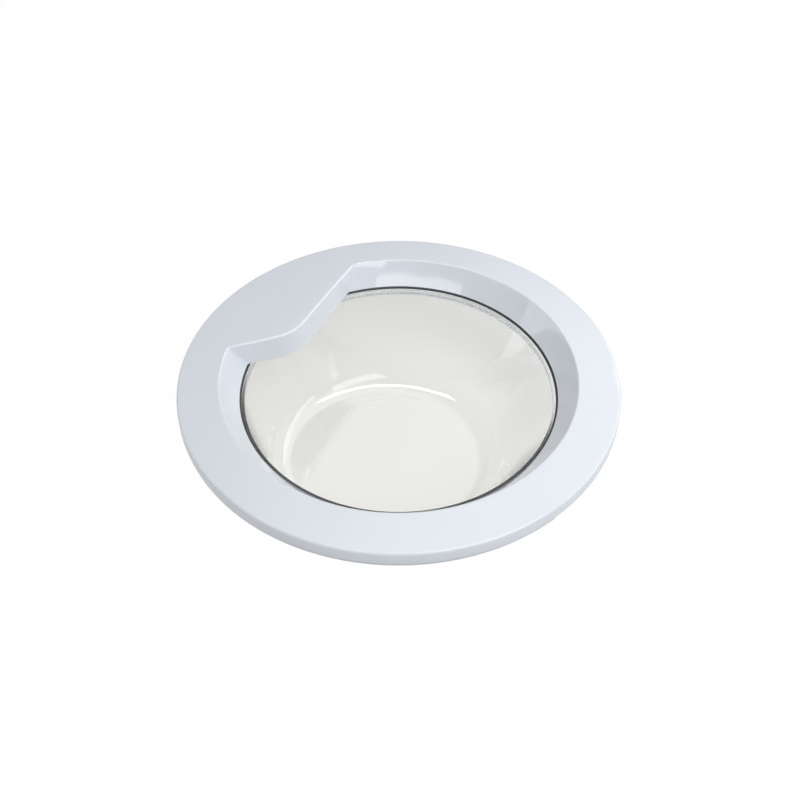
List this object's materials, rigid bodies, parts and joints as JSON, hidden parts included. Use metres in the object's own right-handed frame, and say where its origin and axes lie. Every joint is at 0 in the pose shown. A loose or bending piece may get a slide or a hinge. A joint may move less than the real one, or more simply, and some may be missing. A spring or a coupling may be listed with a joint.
{
  "type": "washing machine door",
  "caption": "Round front-loading washing machine door: domed plastic ring with a pull lobe, clamped pressed-glass bowl, sprung latch hook and swinging hinge bracket.",
  "frame": {"origin": "on the ring's axis, level with the underside of the glass bowl that the door lies on", "axes": "+Z out of the front of the door, +X towards the pull lobe and latch, +Y towards the machine's top, hinge at -X"},
  "size_m": [0.4059, 0.406, 0.1156],
  "materials": {
    "white_plastic": "glossy moulded white with a cool cast",
    "frame_plastic": "satin moulded white",
    "bowl_glass": "clear pressed glass with a faint warm tint",
    "seal_rubber": "matt dark rubber",
    "screw_steel": "zinc plated",
    "bracket_steel": "zinc plated",
    "hook_steel": "plain bright metal",
    "pin_steel": "bright drawn steel",
    "bush_plastic": "matt grey bearing plastic"
  },
  "bodies": {
    "door": {"front_trim": "white_plastic", "handle_tray": "white_plastic", "rear_frame": "frame_plastic", "glass_bowl": "bowl_glass", "glass_seal": "seal_rubber", "handle_screws": "screw_steel", "frame_screws": "screw_steel", "hinge_upper_bush": "bush_plastic", "hinge_lower_bush": "bush_plastic", "hinge_pin": "pin_steel", "hinge_clip": "pin_steel", "latch_pin": "pin_steel", "latch_clip": "pin_steel", "latch_spring": "pin_steel"},
    "hinge_leaf": {"hinge_bracket": "bracket_steel"},
    "hook": {"latch_hook": "hook_steel"}
  },
  "joints": [
    {"name": "door_hinge", "type": "hinge", "parent": "door", "child": "hinge_leaf", "pos_m": [-0.192, 0, 0.1018], "axis": [0, 1, 0], "range_deg": [0, 110]},
    {"name": "latch_pivot", "type": "hinge", "parent": "door", "child": "hook", "pos_m": [0.18, 0, 0.1025], "axis": [0, 1, 0], "range_deg": [0, 12], "stiffness_Nm_per_rad": 0.4, "springref_deg": -20.05, "deforming": ["latch_spring"]}
  ]
}
